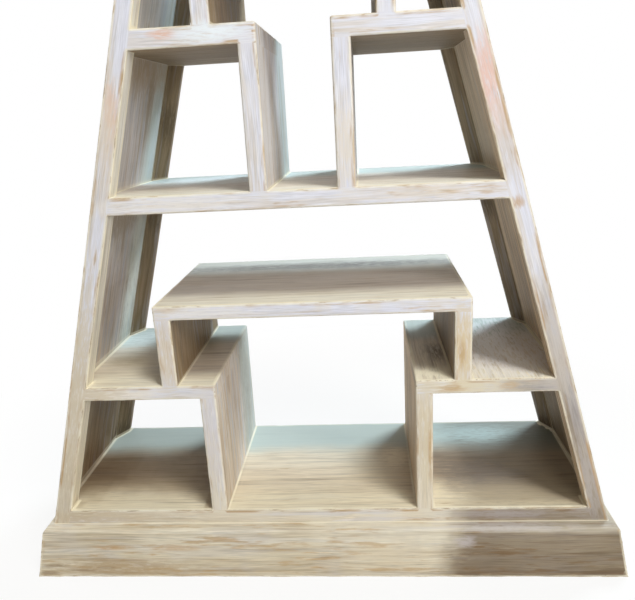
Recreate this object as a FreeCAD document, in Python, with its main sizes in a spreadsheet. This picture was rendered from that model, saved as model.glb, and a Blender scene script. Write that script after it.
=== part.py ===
import FreeCAD, Part
import os
import Sketcher

# A pyramid bookcase. Two leaning sides stand on a plinth, and stepped shelves, uprights and bridges fill
# the space between them. Each side is a front post, a back post and a thin panel set in between.
# Everything is in millimetres. X runs across the front, the front faces -Y and Z is up. The origin lies on
# the floor, at the middle of the outline.

os.makedirs("parts", exist_ok=True)
document = FreeCAD.newDocument("PyramidBookcase")

# Sizes that can be set by themselves
driving_sizes = {
    "PlinthHeight": 99,
    "PlinthFrontFootOverhang": 44,
    "PlinthFrontTopOverhang": 24,
    "PlinthEndFootOverhang": 30,
    "PlinthEndTopOverhang": 14,
    "PlinthBoardTopThickness": 30,
    "PlinthBackThickness": 24,
    "PlinthEdgeRadius": 10,
    "CleatSize": 30,
    "BodyDepth": 373,
    "BodyFootWidth": 1140,
    "BodyTopWidth": 254,
    "PostFace": 33,
    "FrontPostDepth": 38,
    "BackPostDepth": 55,
    "BackPostFlat": 18,
    "BackPostNose": 3,
    "PanelThickness": 10,
    "PanelRebate": 10,
    "BottomShelfThickness": 29.5,
    "LowerUprightHeight": 250,
    "LowerShelfThickness": 28.5,
    "LowerRiserHeight": 134,
    "LowerBridgeThickness": 28.5,
    "MiddleSpace": 175,
    "MiddleShelfThickness": 33,
    "UpperUprightHeight": 245.5,
    "UpperShelfThickness": 34,
    "UpperRiserHeight": 134,
    "UpperBridgeThickness": 28.5,
    "CrownSpace": 175,
    "CrownShelfThickness": 33,
    "TopSpace": 288.5,
    "TopBoardThickness": 34,
    "TopBoardOverhang": 20,
    "TopBoardEdgeRadius": 10,
    "LowerGapWidth": 388,
    "LowerBridgeWidth": 600,
    "UpperGapWidth": 124,
    "UpperBridgeWidth": 340,
    "UprightThickness": 33,
    "RiserThickness": 33,
    "DowelDiameter": 10,
    "DowelClearance": 0.1,
    "DowelEndSpace": 0.5,
    "DowelInBoard": 14,
    "DowelInUpright": 24,
    "DowelInPost": 15,
    "DowelInset": 60,
    "BackPostDowelInset": 16,
    "CornerDowelHeightLow": 28,
    "CornerDowelHeightHigh": 70,
    "ScrewDiameter": 5,
    "ScrewLength": 42,
    "ScrewHeadDiameter": 9,
    "ScrewHeadHeight": 3.5,
    "ScrewRecess": 5,
    "ScrewClearance": 0.1,
    "InnerScrewShare": 0.3,
    "OuterScrewShare": 0.8,
    "Overrun": 5,
}

# Levels and widths that follow from them
derived_places = {
    "PlinthTop": "Sizes.PlinthHeight",
    "BottomShelfTop": "PlinthTop + Sizes.BottomShelfThickness",
    "LowerShelfBottom": "BottomShelfTop + Sizes.LowerUprightHeight",
    "LowerShelfTop": "LowerShelfBottom + Sizes.LowerShelfThickness",
    "LowerBridgeBottom": "LowerShelfTop + Sizes.LowerRiserHeight",
    "LowerBridgeTop": "LowerBridgeBottom + Sizes.LowerBridgeThickness",
    "MiddleShelfBottom": "LowerBridgeTop + Sizes.MiddleSpace",
    "MiddleShelfTop": "MiddleShelfBottom + Sizes.MiddleShelfThickness",
    "UpperShelfBottom": "MiddleShelfTop + Sizes.UpperUprightHeight",
    "UpperShelfTop": "UpperShelfBottom + Sizes.UpperShelfThickness",
    "UpperBridgeBottom": "UpperShelfTop + Sizes.UpperRiserHeight",
    "UpperBridgeTop": "UpperBridgeBottom + Sizes.UpperBridgeThickness",
    "CrownShelfBottom": "UpperBridgeTop + Sizes.CrownSpace",
    "CrownShelfTop": "CrownShelfBottom + Sizes.CrownShelfThickness",
    "PostTop": "CrownShelfTop + Sizes.TopSpace",
    "FootHalf": "Sizes.BodyFootWidth / 2",
    "TopHalf": "Sizes.BodyTopWidth / 2",
    "Lean": "(FootHalf - TopHalf) / (PostTop - PlinthTop)",
    "FrontY": "(Sizes.PlinthFrontFootOverhang - Sizes.BodyDepth) / 2",
    "BackY": "FrontY + Sizes.BodyDepth",
    "PlinthFootHalf": "FootHalf + Sizes.PlinthEndFootOverhang",
    "PlinthTopHalf": "FootHalf + Sizes.PlinthEndTopOverhang",
    "PlinthEndInner": "PlinthTopHalf - Sizes.PlinthBoardTopThickness",
    "PlinthFootY": "FrontY - Sizes.PlinthFrontFootOverhang",
    "PlinthTopY": "FrontY - Sizes.PlinthFrontTopOverhang",
    "PlinthInnerFrontY": "PlinthTopY + Sizes.PlinthBoardTopThickness",
    "PlinthInnerBackY": "BackY - Sizes.PlinthBackThickness",
    "CleatBottom": "PlinthTop - Sizes.CleatSize",
    "FrontCleatBackY": "PlinthInnerFrontY + Sizes.CleatSize",
    "BackCleatFrontY": "PlinthInnerBackY - Sizes.CleatSize",
    "FrontDowelY": "FrontY + Sizes.DowelInset",
    "BackDowelY": "BackY - Sizes.DowelInset",
    "FrontPostDowelY": "FrontY + Sizes.FrontPostDepth / 2",
    "BackPostDowelY": "BackY - Sizes.BackPostDowelInset",
    "LowerUprightInner": "Sizes.LowerGapWidth / 2",
    "LowerRiserOuter": "Sizes.LowerBridgeWidth / 2",
    "UpperUprightInner": "Sizes.UpperGapWidth / 2",
    "UpperRiserOuter": "Sizes.UpperBridgeWidth / 2",
    "HoleDiameter": "Sizes.DowelDiameter + 2 * Sizes.DowelClearance",
    "ScrewHoleDiameter": "Sizes.ScrewDiameter + 2 * Sizes.ScrewClearance",
    "ScrewRecessDiameter": "Sizes.ScrewHeadDiameter + 2 * Sizes.ScrewClearance",
    "ScrewHeadTop": "CleatBottom + Sizes.ScrewRecess",
}

sides = {"left": "-1", "right": "1"}


def fill_sheet(name, cells, as_formulas):
    sheet = document.addObject("Spreadsheet::Sheet", name)
    for row, (alias, content) in enumerate(cells.items(), start=1):
        sheet.set(f"A{row}", alias)
        sheet.set(f"B{row}", f"={content}" if as_formulas else str(content))
        sheet.setAlias(f"B{row}", alias)
    document.recompute()
    return sheet


fill_sheet("Sizes", driving_sizes, False)
fill_sheet("Places", derived_places, True)


# Helpers for the boards

def new_board(name):
    body = document.addObject("PartDesign::Body", name)
    body.Label = name
    return body


def new_sketch(body, name, plane, offset):
    sketch = body.newObject("Sketcher::SketchObject", name)
    planes = [feature for feature in body.Origin.OriginFeatures if feature.Role == plane]
    sketch.AttachmentSupport = [(planes[0], "")]
    sketch.MapMode = "FlatFace"
    sketch.setExpression("AttachmentOffset.Base.z", offset)
    return sketch


def tie_point(sketch, geometry, point, across, along):
    # A point lies at the two given distances from the sketch's origin.
    for kind, distance in (("DistanceX", across), ("DistanceY", along)):
        value = float(sketch.evalExpression(distance))
        number = sketch.addConstraint(Sketcher.Constraint(kind, -1, 1, geometry, point, value))
        sketch.setExpression(f"Constraints[{number}]", distance)


def draw_outline(sketch, corners):
    points = []
    for across, along in corners:
        points.append(FreeCAD.Vector(sketch.evalExpression(across), sketch.evalExpression(along), 0))
    first = sketch.GeometryCount
    count = len(points)
    for index in range(count):
        sketch.addGeometry(Part.LineSegment(points[index], points[(index + 1) % count]))
    for index in range(count):
        following = first + (index + 1) % count
        sketch.addConstraint(Sketcher.Constraint("Coincident", first + index, 2, following, 1))
        tie_point(sketch, first + index, 1, corners[index][0], corners[index][1])


def draw_circle(sketch, across, along, diameter):
    centre = FreeCAD.Vector(sketch.evalExpression(across), sketch.evalExpression(along), 0)
    radius = float(sketch.evalExpression(diameter)) / 2
    geometry = sketch.addGeometry(Part.Circle(centre, FreeCAD.Vector(0, 0, 1), radius))
    tie_point(sketch, geometry, 3, across, along)
    number = sketch.addConstraint(Sketcher.Constraint("Diameter", geometry, 2 * radius))
    sketch.setExpression(f"Constraints[{number}]", diameter)


def add_pad(body, name, sketch, length, lean=None):
    pad = body.newObject("PartDesign::Pad", name)
    pad.Profile = sketch
    pad.setExpression("Length", length)
    if lean:
        set_lean(pad, lean)
    document.recompute()
    return pad


def add_pocket(body, name, sketch, length, reverse=False, lean=None, both_ways=False):
    before = body.Shape.Volume
    pocket = body.newObject("PartDesign::Pocket", name)
    pocket.Profile = sketch
    pocket.Reversed = reverse
    pocket.setExpression("Length", length)
    if both_ways:
        pocket.SideType = "Symmetric"
    if lean:
        set_lean(pocket, lean)
    document.recompute()
    if not body.Shape.Volume < before:
        raise RuntimeError(f"{body.Label}: {name} cuts nothing")
    return pocket


def set_lean(feature, lean):
    # The feature rises with the lean of the side in place of going straight up.
    feature.UseCustomVector = True
    feature.AlongSketchNormal = True
    feature.Direction = FreeCAD.Vector(feature.evalExpression(lean), 0, 1)
    feature.setExpression("Direction.x", lean)


def add_rounding(body, name, radius, chooses_edge):
    shape = body.Shape
    chosen = [f"Edge{index}" for index, edge in enumerate(shape.Edges, start=1) if chooses_edge(edge)]
    base = body.Tip
    fillet = body.newObject("PartDesign::Fillet", name)
    fillet.Base = (base, chosen)
    fillet.setExpression("Radius", radius)
    document.recompute()
    if "Invalid" in fillet.State:
        raise RuntimeError(f"{body.Label}: {name} failed on {len(chosen)} edges")


def place_value(name):
    return float(document.Places.evalExpression(f"Places.{name}"))


def half_at(level):
    # Half the width of the body between the outer faces of its sides, at a level.
    return f"(Places.FootHalf - Places.Lean * ({level} - Places.PlinthTop))"


def plan_board(name, bottom, height, corners):
    # A board of one section all the way up, drawn in plan.
    body = new_board(name)
    sketch = new_sketch(body, f"{name}_plan", "XY_Plane", bottom)
    draw_outline(sketch, corners)
    add_pad(body, f"{name}_pad", sketch, height)
    return body


def rectangle(left, right, front, back):
    return [(left, front), (right, front), (right, back), (left, back)]


# Holes and the pegs that fill them

cut_planes = {"x": "YZ_Plane", "y": "XZ_Plane", "z": "XY_Plane"}
peg_turns = {
    "x": FreeCAD.Rotation(FreeCAD.Vector(0, 1, 0), 90),
    "y": FreeCAD.Rotation(FreeCAD.Vector(1, 0, 0), -90),
    "z": FreeCAD.Rotation(),
}
peg_groups = {}


def drill(body, name, axis, start, length, centres, diameter):
    # Round holes that run from the start along the positive axis.
    offset = f"0 - ({start})" if axis == "y" else start
    sketch = new_sketch(body, f"{name}_centres", cut_planes[axis], offset)
    for across, along in centres:
        draw_circle(sketch, across, along, diameter)
    add_pocket(body, name, sketch, length, reverse=axis != "y")


def add_cylinder(name, axis, start, length, centre, diameter):
    cylinder = document.addObject("Part::Cylinder", name)
    cylinder.Placement = FreeCAD.Placement(FreeCAD.Vector(), peg_turns[axis])
    cylinder.setExpression("Radius", f"{diameter} / 2")
    cylinder.setExpression("Height", length)
    across, along = centre
    positions = {
        "x": (start, across, along),
        "y": (across, start, along),
        "z": (across, along, start),
    }
    for letter, position in zip("xyz", positions[axis]):
        cylinder.setExpression(f"Placement.Base.{letter}", position)
    return cylinder


def dowel_joint(group, axis, start, length, centres, bodies):
    # The holes take the dowels with a little space round them and at both ends.
    number = len(peg_groups.setdefault(group, []))
    for body, body_centres in bodies:
        drill(body, f"{body.Label}_holes_{group}_{number}", axis, start, length, body_centres,
              "Places.HoleDiameter")
    for centre in centres:
        number = len(peg_groups[group])
        dowel = add_cylinder(f"{group}_{number}", axis, f"{start} + Sizes.DowelEndSpace",
                             f"{length} - 2 * Sizes.DowelEndSpace", centre, "Sizes.DowelDiameter")
        peg_groups[group].append(dowel)


# Plinth

def make_plinth_long_board(name, section, rounds_front):
    # The long boards run the whole width, and their ends are cut to the slope of the plinth's ends.
    body = new_board(name)
    sketch = new_sketch(body, f"{name}_section", "YZ_Plane", "0")
    draw_outline(sketch, section)
    pad = add_pad(body, f"{name}_pad", sketch, "2 * Places.PlinthFootHalf")
    pad.SideType = "Symmetric"
    document.recompute()
    ends = new_sketch(body, f"{name}_ends", "XZ_Plane", "0")
    for sign in sides.values():
        draw_outline(ends, [
            (f"{sign} * Places.PlinthFootHalf", "0"),
            (f"{sign} * Places.PlinthTopHalf", "Places.PlinthTop"),
            (f"{sign} * (Places.PlinthFootHalf + Sizes.Overrun)", "Places.PlinthTop"),
            (f"{sign} * (Places.PlinthFootHalf + Sizes.Overrun)", "0"),
        ])
    add_pocket(body, f"{name}_end_cuts", ends, "4 * Sizes.BodyDepth", both_ways=True)
    top = place_value("PlinthTop")
    half = place_value("PlinthTopHalf")
    front = place_value("PlinthTopY")

    def is_outer_top_edge(edge):
        middle = edge.CenterOfMass
        at_end = abs(abs(middle.x) - half) < abs(half) * 1e-6
        at_front = rounds_front and abs(middle.y - front) < abs(front) * 1e-6
        return abs(middle.z - top) < top * 1e-6 and (at_end or at_front)

    add_rounding(body, f"{name}_rounding", "Sizes.PlinthEdgeRadius", is_outer_top_edge)
    return body


def make_plinth_end(name, sign):
    body = new_board(name)
    sketch = new_sketch(body, f"{name}_section", "XZ_Plane", "0 - Places.PlinthInnerBackY")
    draw_outline(sketch, [
        (f"{sign} * Places.PlinthEndInner", "0"),
        (f"{sign} * Places.PlinthFootHalf", "0"),
        (f"{sign} * Places.PlinthTopHalf", "Places.PlinthTop"),
        (f"{sign} * Places.PlinthEndInner", "Places.PlinthTop"),
    ])
    add_pad(body, f"{name}_pad", sketch, "Places.PlinthInnerBackY - Places.PlinthInnerFrontY")
    top = place_value("PlinthTop")
    half = place_value("PlinthTopHalf")

    def is_outer_top_edge(edge):
        middle = edge.CenterOfMass
        return abs(middle.z - top) < top * 1e-6 and abs(abs(middle.x) - half) < half * 1e-6

    add_rounding(body, f"{name}_rounding", "Sizes.PlinthEdgeRadius", is_outer_top_edge)
    return body


plinth_front = make_plinth_long_board("plinth_front_board", [
    ("Places.PlinthFootY", "0"),
    ("Places.PlinthTopY", "Places.PlinthTop"),
    ("Places.PlinthInnerFrontY", "Places.PlinthTop"),
    ("Places.PlinthInnerFrontY", "0"),
], True)
plinth_back = make_plinth_long_board("plinth_back_board", [
    ("Places.PlinthInnerBackY", "0"),
    ("Places.PlinthInnerBackY", "Places.PlinthTop"),
    ("Places.BackY", "Places.PlinthTop"),
    ("Places.BackY", "0"),
], False)
plinth_ends = {side: make_plinth_end(f"plinth_{side}_end", sign) for side, sign in sides.items()}

front_cleat = plan_board(
    "plinth_front_cleat", "Places.CleatBottom", "Sizes.CleatSize",
    rectangle("0 - Places.PlinthEndInner", "Places.PlinthEndInner",
              "Places.PlinthInnerFrontY", "Places.FrontCleatBackY"))
back_cleat = plan_board(
    "plinth_back_cleat", "Places.CleatBottom", "Sizes.CleatSize",
    rectangle("0 - Places.PlinthEndInner", "Places.PlinthEndInner",
              "Places.BackCleatFrontY", "Places.PlinthInnerBackY"))
end_cleats = {}
for side, sign in sides.items():
    end_cleats[side] = plan_board(
        f"plinth_{side}_cleat", "Places.CleatBottom", "Sizes.CleatSize",
        rectangle(f"{sign} * Places.PlinthEndInner", f"{sign} * (Places.PlinthEndInner - Sizes.CleatSize)",
                  "Places.FrontCleatBackY", "Places.BackCleatFrontY"))


# Leaning sides

def make_leaning_piece(name, sign, section):
    # The section is given as distances inward from the side's outer face, and depths.
    body = new_board(name)
    sketch = new_sketch(body, f"{name}_section", "XY_Plane", "Places.PlinthTop")
    draw_outline(sketch, [(f"{sign} * (Places.FootHalf - {inward})", depth) for inward, depth in section])
    add_pad(body, f"{name}_pad", sketch, "Places.PostTop - Places.PlinthTop", f"0 - {sign} * Places.Lean")
    return body


front_post_inner = "(Places.FrontY + Sizes.FrontPostDepth)"
front_rebate = f"({front_post_inner} - Sizes.PanelRebate)"
back_post_inner = "(Places.BackY - Sizes.BackPostDepth)"
back_rebate = f"({back_post_inner} + Sizes.PanelRebate)"
back_flat_end = "(Places.BackY - Sizes.BackPostFlat)"
nose_inward = "(Sizes.PanelThickness + Sizes.BackPostNose)"

front_posts = {}
back_posts = {}
for side, sign in sides.items():
    front_posts[side] = make_leaning_piece(f"{side}_front_post", sign, [
        ("0", "Places.FrontY"),
        ("Sizes.PostFace", "Places.FrontY"),
        ("Sizes.PostFace", front_post_inner),
        ("Sizes.PanelThickness", front_post_inner),
        ("Sizes.PanelThickness", front_rebate),
        ("0", front_rebate),
    ])
    # The back post's inner front corner is planed off at a slope, down to a narrow nose beside the panel.
    back_posts[side] = make_leaning_piece(f"{side}_back_post", sign, [
        ("0", "Places.BackY"),
        ("Sizes.PostFace", "Places.BackY"),
        ("Sizes.PostFace", back_flat_end),
        (nose_inward, back_post_inner),
        ("Sizes.PanelThickness", back_post_inner),
        ("Sizes.PanelThickness", back_rebate),
        ("0", back_rebate),
    ])
    make_leaning_piece(f"{side}_side_panel", sign, [
        ("0", front_rebate),
        ("Sizes.PanelThickness", front_rebate),
        ("Sizes.PanelThickness", back_rebate),
        ("0", back_rebate),
    ])


# Shelves, with ends bevelled to the sides and notched round the posts

def panel_half_at(level):
    return f"({half_at(level)} - Sizes.PanelThickness)"


def cut_notches(body, sign, bottom, thickness):
    level = f"({bottom} - Sizes.Overrun)"
    sketch = new_sketch(body, f"{body.Label}_notches_{sign.strip('-')}{len(sign)}", "XY_Plane", level)

    def corner(inward, depth):
        return (f"{sign} * ({half_at(level)} - {inward})", depth)

    beyond = "(0 - Sizes.Overrun)"
    draw_outline(sketch, [
        corner("Sizes.PostFace", "Places.FrontY - Sizes.Overrun"),
        corner("Sizes.PostFace", front_post_inner),
        corner(beyond, front_post_inner),
        corner(beyond, "Places.FrontY - Sizes.Overrun"),
    ])
    draw_outline(sketch, [
        corner("Sizes.PostFace", "Places.BackY + Sizes.Overrun"),
        corner("Sizes.PostFace", back_flat_end),
        corner(nose_inward, back_post_inner),
        corner(beyond, back_post_inner),
        corner(beyond, "Places.BackY + Sizes.Overrun"),
    ])
    add_pocket(body, f"{sketch.Label}_cut", sketch, f"{thickness} + 2 * Sizes.Overrun",
               lean=f"0 - {sign} * Places.Lean")


def make_shelf(name, bottom, thickness, joined_sides, inner=None):
    top = f"({bottom} + {thickness})"
    body = new_board(name)
    sketch = new_sketch(body, f"{name}_front", "XZ_Plane", "0 - Places.BackY")
    if inner is None:
        corners = [
            (f"0 - {panel_half_at(bottom)}", bottom),
            (panel_half_at(bottom), bottom),
            (panel_half_at(top), top),
            (f"0 - {panel_half_at(top)}", top),
        ]
    else:
        sign = sides[joined_sides[0]]
        corners = [
            (f"{sign} * {inner}", bottom),
            (f"{sign} * {panel_half_at(bottom)}", bottom),
            (f"{sign} * {panel_half_at(top)}", top),
            (f"{sign} * {inner}", top),
        ]
    draw_outline(sketch, corners)
    add_pad(body, f"{name}_pad", sketch, "Sizes.BodyDepth")
    middle = f"({bottom} + {thickness} / 2)"
    for side in joined_sides:
        sign = sides[side]
        cut_notches(body, sign, bottom, thickness)
        join_shelf_to_posts(body, side, sign, middle)
    return body


def join_shelf_to_posts(shelf, side, sign, middle):
    # One level dowel goes from the shelf's end into each post.
    inner_face = f"({half_at(middle)} - Sizes.PostFace)"
    deep_end = f"({inner_face} + Sizes.DowelInPost + Sizes.DowelEndSpace)"
    shelf_end = f"({inner_face} - Sizes.DowelInUpright - Sizes.DowelEndSpace)"
    start = f"({shelf_end})" if sign == "1" else f"(0 - {deep_end})"
    length = "(Sizes.DowelInPost + Sizes.DowelInUpright + 2 * Sizes.DowelEndSpace)"
    front = ("Places.FrontPostDowelY", middle)
    back = ("Places.BackPostDowelY", middle)
    dowel_joint("shelf_end_dowels", "x", start, length, [front, back],
                [(shelf, [front, back]), (front_posts[side], [front]), (back_posts[side], [back])])


both = ("left", "right")
bottom_shelf = make_shelf("bottom_shelf", "Places.PlinthTop", "Sizes.BottomShelfThickness", both)
middle_shelf = make_shelf("middle_shelf", "Places.MiddleShelfBottom", "Sizes.MiddleShelfThickness", both)
crown_shelf = make_shelf("crown_shelf", "Places.CrownShelfBottom", "Sizes.CrownShelfThickness", both)
lower_shelves = {}
upper_shelves = {}
for side in both:
    lower_shelves[side] = make_shelf(f"lower_{side}_shelf", "Places.LowerShelfBottom",
                                     "Sizes.LowerShelfThickness", [side], "Places.LowerUprightInner")
    upper_shelves[side] = make_shelf(f"upper_{side}_shelf", "Places.UpperShelfBottom",
                                     "Sizes.UpperShelfThickness", [side], "Places.UpperUprightInner")


# Bridges

def make_bridge(name, bottom, thickness, outer):
    return plan_board(name, bottom, thickness,
                      rectangle(f"0 - {outer}", outer, "Places.FrontY", "Places.BackY"))


lower_bridge = make_bridge("lower_bridge_shelf", "Places.LowerBridgeBottom", "Sizes.LowerBridgeThickness",
                           "Places.LowerRiserOuter")
upper_bridge = make_bridge("upper_bridge_shelf", "Places.UpperBridgeBottom", "Sizes.UpperBridgeThickness",
                           "Places.UpperRiserOuter")


# Uprights, and the short risers that carry the bridges

def make_upright(name, sign, foot, height, inner, thickness, group, below, above):
    # Two dowels at the foot and two at the top join it to the boards below and above.
    body = plan_board(name, foot, height, rectangle(
        f"{sign} * {inner}", f"{sign} * ({inner} + {thickness})", "Places.FrontY", "Places.BackY"))
    centre = f"{sign} * ({inner} + {thickness} / 2)"
    centres = [(centre, "Places.FrontDowelY"), (centre, "Places.BackDowelY")]
    in_board = "(Sizes.DowelInBoard + Sizes.DowelEndSpace)"
    in_upright = "(Sizes.DowelInUpright + Sizes.DowelEndSpace)"
    length = f"({in_board} + {in_upright})"
    dowel_joint(group, "z", f"({foot} - {in_board})", length, centres, [(body, centres), (below, centres)])
    dowel_joint(group, "z", f"({foot} + {height} - {in_upright})", length, centres,
                [(body, centres), (above, centres)])
    return body


for side, sign in sides.items():
    make_upright(f"lower_{side}_upright", sign, "Places.BottomShelfTop", "Sizes.LowerUprightHeight",
                 "Places.LowerUprightInner", "Sizes.UprightThickness", "upright_dowels",
                 bottom_shelf, lower_shelves[side])
    make_upright(f"upper_{side}_upright", sign, "Places.MiddleShelfTop", "Sizes.UpperUprightHeight",
                 "Places.UpperUprightInner", "Sizes.UprightThickness", "upright_dowels",
                 middle_shelf, upper_shelves[side])
    make_upright(f"lower_{side}_riser", sign, "Places.LowerShelfTop", "Sizes.LowerRiserHeight",
                 "(Places.LowerRiserOuter - Sizes.RiserThickness)", "Sizes.RiserThickness", "riser_dowels",
                 lower_shelves[side], lower_bridge)
    make_upright(f"upper_{side}_riser", sign, "Places.UpperShelfTop", "Sizes.UpperRiserHeight",
                 "(Places.UpperRiserOuter - Sizes.RiserThickness)", "Sizes.RiserThickness", "riser_dowels",
                 upper_shelves[side], upper_bridge)


# Top board, rounded along its front and ends above and below

top_half = "(Places.TopHalf + Sizes.TopBoardOverhang)"
top_front = "(Places.FrontY - Sizes.TopBoardOverhang)"
top_board = plan_board("top_board", "Places.PostTop", "Sizes.TopBoardThickness",
                       rectangle(f"0 - {top_half}", top_half, top_front, "Places.BackY"))
top_half_value = float(document.Places.evalExpression(top_half))
top_front_value = float(document.Places.evalExpression(top_front))


def rim_at(level):
    def is_rim(edge):
        middle = edge.CenterOfMass
        at_level = abs(middle.z - level) < level * 1e-6
        at_end = abs(abs(middle.x) - top_half_value) < top_half_value * 1e-6
        at_front = abs(middle.y - top_front_value) < abs(top_front_value) * 1e-6
        return at_level and (at_end or at_front)

    return is_rim


for name, level in (("lower", "Places.PostTop"), ("upper", "(Places.PostTop + Sizes.TopBoardThickness)")):
    rim = rim_at(float(document.Places.evalExpression(level)))
    add_rounding(top_board, f"top_board_{name}_rounding", "Sizes.TopBoardEdgeRadius", rim)

for side, sign in sides.items():
    centre = f"{sign} * (Places.TopHalf - Sizes.PostFace / 2)"
    front = (centre, "Places.FrontPostDowelY")
    back = (centre, "Places.BackPostDowelY")
    dowel_joint("top_board_dowels", "z", "(Places.PostTop - Sizes.DowelInUpright - Sizes.DowelEndSpace)",
                "(Sizes.DowelInUpright + Sizes.DowelInBoard + 2 * Sizes.DowelEndSpace)", [front, back],
                [(top_board, [front, back]), (front_posts[side], [front]), (back_posts[side], [back])])


# Dowels at the plinth's corners

for side, sign in sides.items():
    centre = f"{sign} * (Places.PlinthTopHalf - Sizes.PlinthBoardTopThickness / 2)"
    centres = [(centre, "Sizes.CornerDowelHeightLow"), (centre, "Sizes.CornerDowelHeightHigh")]
    in_board = "(Sizes.DowelInBoard + Sizes.DowelEndSpace)"
    in_end = "(Sizes.DowelInUpright + Sizes.DowelEndSpace)"
    length = f"({in_board} + {in_end})"
    dowel_joint("plinth_dowels", "y", f"(Places.PlinthInnerFrontY - {in_board})", length, centres,
                [(plinth_front, centres), (plinth_ends[side], centres)])
    dowel_joint("plinth_dowels", "y", f"(Places.PlinthInnerBackY - {in_end})", length, centres,
                [(plinth_back, centres), (plinth_ends[side], centres)])


# Screws that go up through the cleats into the bottom shelf

def drive_screws(name, cleat, centres):
    hole_length = "(Sizes.ScrewLength + Sizes.DowelEndSpace)"
    drill(cleat, f"{name}_recess", "z", "Places.CleatBottom", "Sizes.ScrewRecess", centres,
          "Places.ScrewRecessDiameter")
    drill(cleat, f"{name}_hole", "z", "Places.ScrewHeadTop", hole_length, centres, "Places.ScrewHoleDiameter")
    drill(bottom_shelf, f"{name}_pilot", "z", "Places.ScrewHeadTop", hole_length, centres,
          "Places.ScrewHoleDiameter")
    screws = peg_groups.setdefault("plinth_screws", [])
    head_bottom = "Places.ScrewHeadTop - Sizes.ScrewHeadHeight"
    for centre in centres:
        number = len(screws)
        screw = document.addObject("Part::Fuse", f"screw_{number}")
        screw.Base = add_cylinder(f"screw_head_{number}", "z", head_bottom, "Sizes.ScrewHeadHeight", centre,
                                  "Sizes.ScrewHeadDiameter")
        screw.Tool = add_cylinder(f"screw_shank_{number}", "z", head_bottom,
                                  "Sizes.ScrewLength + Sizes.ScrewHeadHeight", centre, "Sizes.ScrewDiameter")
        screws.append(screw)


front_row = "(Places.PlinthInnerFrontY + Sizes.CleatSize / 2)"
back_row = "(Places.PlinthInnerBackY - Sizes.CleatSize / 2)"
for name, cleat, row in (("front_screws", front_cleat, front_row), ("back_screws", back_cleat, back_row)):
    centres = []
    for sign in sides.values():
        for share in ("Sizes.InnerScrewShare", "Sizes.OuterScrewShare"):
            centres.append((f"{sign} * {share} * Places.FootHalf", row))
    drive_screws(name, cleat, centres)
for side, sign in sides.items():
    centre = (f"{sign} * (Places.PlinthEndInner - Sizes.CleatSize / 2)", f"({front_row} + {back_row}) / 2")
    drive_screws(f"{side}_screw", end_cleats[side], [centre])

for label, pegs in peg_groups.items():
    group = document.addObject("Part::Compound", label)
    group.Label = label
    group.Links = pegs

# Every object is checked before anything is written

document.recompute()
for thing in document.Objects:
    if "Invalid" in thing.State or "Error" in thing.State:
        raise RuntimeError(f"{thing.Label} failed: {thing.State}")
sub_parts = [thing for thing in document.Objects
             if thing.TypeId == "PartDesign::Body" or thing.TypeId == "Part::Compound"]
for thing in sub_parts:
    if thing.Shape.isNull() or not thing.Shape.isValid():
        raise RuntimeError(f"{thing.Label} has no valid shape")
for thing in sub_parts:
    thing.Shape.exportStep(f"parts/{thing.Label}.step")
    box = thing.Shape.BoundBox
    print(f"{thing.Label}: {len(thing.Shape.Solids)} solids, {thing.Shape.Volume:.0f} mm3, "
          f"x {box.XMin:.1f} to {box.XMax:.1f}, y {box.YMin:.1f} to {box.YMax:.1f}, "
          f"z {box.ZMin:.1f} to {box.ZMax:.1f}")
print(len(sub_parts), "sub-parts")
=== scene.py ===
import math
from types import SimpleNamespace

import bmesh
import bpy
import numpy as np
from mathutils import Matrix, Vector
from mathutils.bvhtree import BVHTree


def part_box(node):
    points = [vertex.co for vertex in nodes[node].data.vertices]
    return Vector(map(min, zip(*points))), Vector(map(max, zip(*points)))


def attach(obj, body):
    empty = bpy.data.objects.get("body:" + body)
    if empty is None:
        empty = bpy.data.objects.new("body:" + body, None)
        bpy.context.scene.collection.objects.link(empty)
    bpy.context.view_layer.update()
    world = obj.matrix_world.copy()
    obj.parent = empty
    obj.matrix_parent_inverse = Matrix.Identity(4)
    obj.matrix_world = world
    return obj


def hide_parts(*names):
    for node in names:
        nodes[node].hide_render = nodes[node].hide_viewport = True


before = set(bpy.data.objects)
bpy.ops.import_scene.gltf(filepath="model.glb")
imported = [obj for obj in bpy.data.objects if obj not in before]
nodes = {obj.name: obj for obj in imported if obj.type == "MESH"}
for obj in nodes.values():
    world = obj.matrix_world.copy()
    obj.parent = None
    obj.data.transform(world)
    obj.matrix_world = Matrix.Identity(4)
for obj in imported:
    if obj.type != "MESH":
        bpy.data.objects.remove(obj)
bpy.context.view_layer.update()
print("frame loaded:", len(nodes), "nodes")

# The sides lean inwards by this much for each metre of height.
postFace = 0.033
postLow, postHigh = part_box("left_front_post")
lean = (postHigh.x - postLow.x - postFace) / (postHigh.z - postLow.z)

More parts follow.
